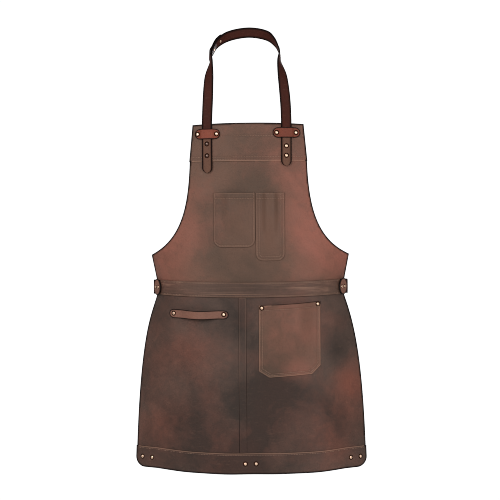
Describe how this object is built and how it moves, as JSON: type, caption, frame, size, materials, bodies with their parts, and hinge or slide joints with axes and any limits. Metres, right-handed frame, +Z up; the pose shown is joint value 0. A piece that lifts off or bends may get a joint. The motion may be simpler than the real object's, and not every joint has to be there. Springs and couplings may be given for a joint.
{
  "type": "welding apron",
  "caption": "Leather welding apron with a neck loop, flared skirt with riveted hem, chest and tool pockets, towel loop and buckled waist strap.",
  "frame": {"origin": "middle of the neck strap's inner face, where it rests on the wearer's nape", "axes": "+Z up, -Y out of the face of the apron, +X to the right of someone who faces it"},
  "size_m": [0.6154, 0.2634, 1.1887],
  "materials": {
    "brown_leather": "mottled waxed pull-up leather, satin",
    "dark_leather": "darker waxed leather, satin",
    "red_leather": "red-brown waxed leather, satin",
    "strap_leather": "dark red-brown strap leather",
    "brass": "polished cap rivets",
    "black_metal": "dark antiqued studs",
    "steel": "roller buckle, satin"
  },
  "bodies": {
    "bib": {"bib_panel": "brown_leather", "bib_top_band": "brown_leather", "chest_pocket": "brown_leather", "pen_pocket": "brown_leather", "neck_strap_left_tail": "brown_leather", "neck_strap_right_end": "brown_leather", "strap_keeper_left": "red_leather", "strap_keeper_right": "red_leather", "keeper_rivet_left_left": "brass", "keeper_rivet_left_right": "brass", "keeper_rivet_right_left": "brass", "keeper_rivet_right_right": "brass", "strap_stud_upper": "black_metal", "strap_stud_lower": "black_metal", "strap_rivet_upper": "brass", "strap_rivet_lower": "brass"},
    "neck_loop": {"neck_strap_long": "strap_leather", "neck_strap_short": "strap_leather", "neck_join_rivet_lower": "brass", "neck_join_rivet_upper": "brass"},
    "skirt": {"waist_band": "brown_leather", "skirt_left_panel": "dark_leather", "skirt_right_panel": "dark_leather", "hem_band": "brown_leather", "skirt_seam_strip": "dark_leather", "tool_pocket": "brown_leather", "towel_loop": "red_leather", "side_tab_left": "red_leather", "waist_strap_anchor_left": "strap_leather", "side_tab_right": "red_leather", "waist_strap_anchor_right": "strap_leather", "tool_pocket_rivet_left": "brass", "tool_pocket_rivet_right": "brass", "towel_loop_rivet_left": "brass", "towel_loop_rivet_right": "brass", "hem_rivet_left_1": "brass", "hem_rivet_left_2": "brass", "hem_rivet_middle_1": "brass", "hem_rivet_middle_2": "brass", "hem_rivet_right_1": "brass", "hem_rivet_right_2": "brass", "tab_rivet_left_1": "brass", "tab_rivet_left_2": "brass", "tab_rivet_right_1": "brass", "tab_rivet_right_2": "brass"},
    "waist_strap": {"waist_strap_right": "strap_leather", "waist_strap_left": "strap_leather"},
    "buckle": {"buckle_frame": "steel"},
    "roller": {"buckle_roller": "steel"},
    "prong": {"buckle_prong": "steel"},
    "belt_keeper": {"belt_keeper": "red_leather"}
  },
  "joints": [
    {"name": "neck_fold", "type": "hinge", "parent": "neck_loop", "child": "bib", "pos_m": [0, -0.1105, -0.257], "axis": [1, 0, 0], "range_deg": [-60, 60]},
    {"name": "waist_fold", "type": "hinge", "parent": "bib", "child": "skirt", "pos_m": [0, -0.109, -0.669], "axis": [-1, 0, 0], "range_deg": [0, 35]},
    {"name": "belt_swing", "type": "hinge", "parent": "skirt", "child": "waist_strap", "pos_m": [0, 0.036, -0.689], "axis": [1, 0, 0], "range_deg": [-30, 30]},
    {"name": "buckle_swing", "type": "hinge", "parent": "waist_strap", "child": "buckle", "pos_m": [0.01, 0.126, -0.689], "axis": [0, 0, -1], "range_deg": [0, 15]},
    {"name": "prong_swing", "type": "hinge", "parent": "buckle", "child": "prong", "pos_m": [0.01, 0.126, -0.689], "axis": [0, 0, -1], "range_deg": [0, 50]},
    {"name": "roller_spin", "type": "hinge", "parent": "buckle", "child": "roller", "pos_m": [-0.022, 0.1305, -0.689], "axis": [0, 0, 1], "continuous": true},
    {"name": "keeper_slide", "type": "slide", "parent": "waist_strap", "child": "belt_keeper", "axis": [1, 0, 0], "range_m": [-0.008, 0.018]}
  ]
}
